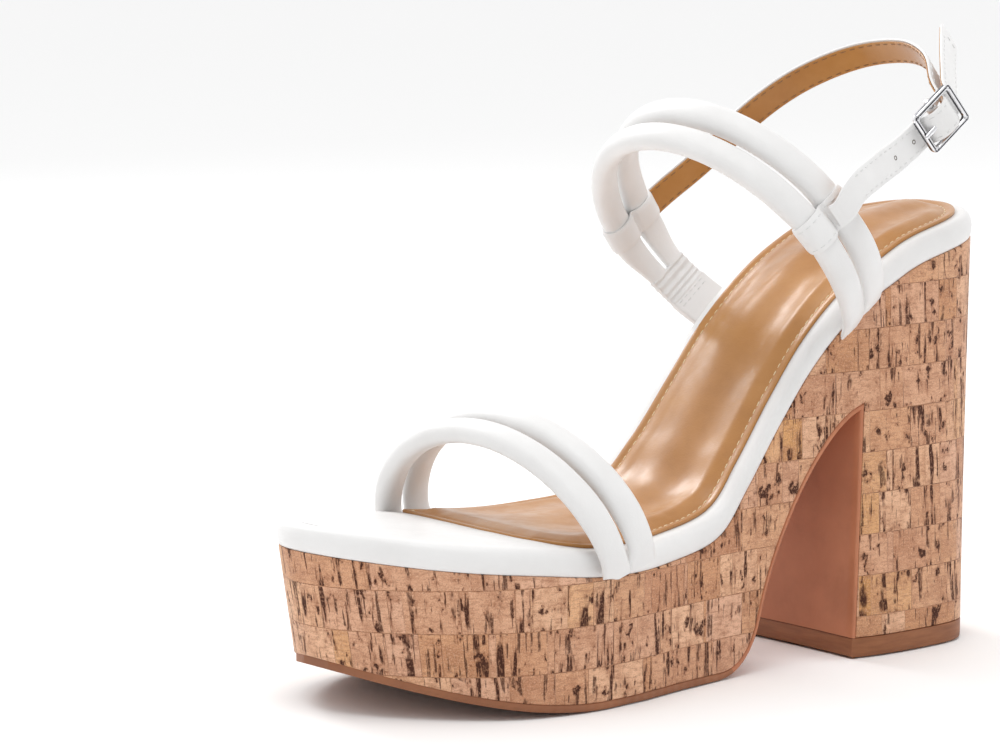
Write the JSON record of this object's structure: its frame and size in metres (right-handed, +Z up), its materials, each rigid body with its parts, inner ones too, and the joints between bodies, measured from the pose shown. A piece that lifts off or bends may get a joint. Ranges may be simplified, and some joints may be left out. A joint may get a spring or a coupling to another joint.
{
  "type": "wedge sandal",
  "caption": "Platform sandal with a cork-wrapped sole and block heel, padded tube straps over toes and instep, and a buckled ankle strap.",
  "frame": {"origin": "on the floor, on the flat part of the outsole, under the middle of the sole", "axes": "+Y towards the heel (toe is -Y), +X to the outer (lateral) side, +Z up"},
  "size_m": [0.0939, 0.2209, 0.1696],
  "materials": {
    "cork": "matte cork sheet",
    "core_foam": "moulded",
    "outsole": "satin",
    "heel_lift": "satin",
    "steel": "zinc plated",
    "board": "fibre board",
    "foam": "foam",
    "white_leather": "smooth grain, satin",
    "tan_lining": "glossy",
    "elastic": "gathered",
    "buckle_metal": "polished"
  },
  "bodies": {
    "root": {"platform_core": "core_foam", "heel_block": "core_foam", "cork_wrap": "cork", "outsole": "outsole", "heel_lift": "heel_lift", "lift_pins": "steel", "insole_board": "board", "steel_shank": "steel", "shank_rivets": "steel", "heel_screw": "steel", "heel_nails": "steel", "footbed_padding": "foam", "rim_cover": "white_leather", "sock_lining": "tan_lining", "vamp_strap_front": "white_leather", "vamp_filler_front": "foam", "vamp_strap_rear": "white_leather", "vamp_filler_rear": "foam", "instep_strap_front": "white_leather", "instep_filler_front": "foam", "instep_strap_rear": "white_leather", "instep_filler_rear": "foam", "lateral_keeper": "white_leather", "medial_keeper": "white_leather", "elastic_gore": "elastic", "gore_tab": "white_leather"},
    "ankle_strap": {"sling_strap": "white_leather", "sling_lining": "tan_lining", "billet_strap": "white_leather", "billet_lining": "tan_lining", "buckle_chape": "white_leather"},
    "buckle_frame": {"buckle_frame": "buckle_metal"},
    "buckle_prong": {"buckle_prong": "buckle_metal"}
  },
  "joints": [
    {"name": "ankle_strap_fold", "type": "hinge", "parent": "root", "child": "ankle_strap", "pos_m": [-0.0009, 0.03175, 0.1184], "axis": [0.9908, 0.0165, 0.1346], "range_deg": [-30, 60]},
    {"name": "buckle_tilt", "type": "hinge", "parent": "ankle_strap", "child": "buckle_frame", "pos_m": [0.039, 0.0714, 0.1462], "axis": [-0.0548, -0.6269, 0.7771], "range_deg": [-4, 4]},
    {"name": "prong_swing", "type": "hinge", "parent": "buckle_frame", "child": "buckle_prong", "pos_m": [0.039, 0.0714, 0.1462], "axis": [-0.0548, -0.6269, 0.7771], "range_deg": [0, 100]}
  ]
}
